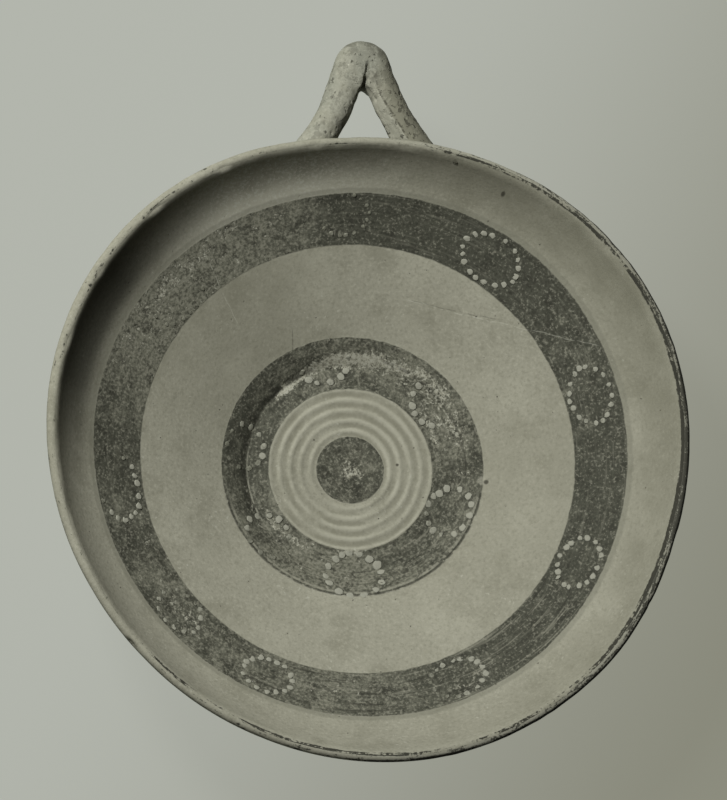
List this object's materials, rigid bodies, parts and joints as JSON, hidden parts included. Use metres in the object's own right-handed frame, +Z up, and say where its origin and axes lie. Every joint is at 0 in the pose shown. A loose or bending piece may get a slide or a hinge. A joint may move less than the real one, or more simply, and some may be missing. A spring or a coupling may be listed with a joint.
{
  "type": "handled ceramic bowl",
  "caption": "Shallow wheel-thrown clay bowl on a ring foot, with a wishbone handle at the rim and dark painted bands inside.",
  "frame": {"origin": "on the table, under the middle of the outline of bowl and handle", "axes": "+Z up along the bowl's axis, +Y from the bowl's axis out along the handle, +X to the right of the handle"},
  "size_m": [0.25, 0.2884, 0.069],
  "materials": {
    "painted_buff_clay": "matt fired clay with worn dark slip",
    "buff_clay": "matt fired clay",
    "handle_clay": "matt fired clay, pitted",
    "luting_clay": "matt fired clay, smoothed by finger"
  },
  "bodies": {
    "root": {"bowl_body": "painted_buff_clay", "foot_ring": "buff_clay", "handle_left_arm": "handle_clay", "handle_right_arm": "handle_clay", "left_root_luting": "luting_clay", "right_root_luting": "luting_clay"}
  },
  "joints": []
}
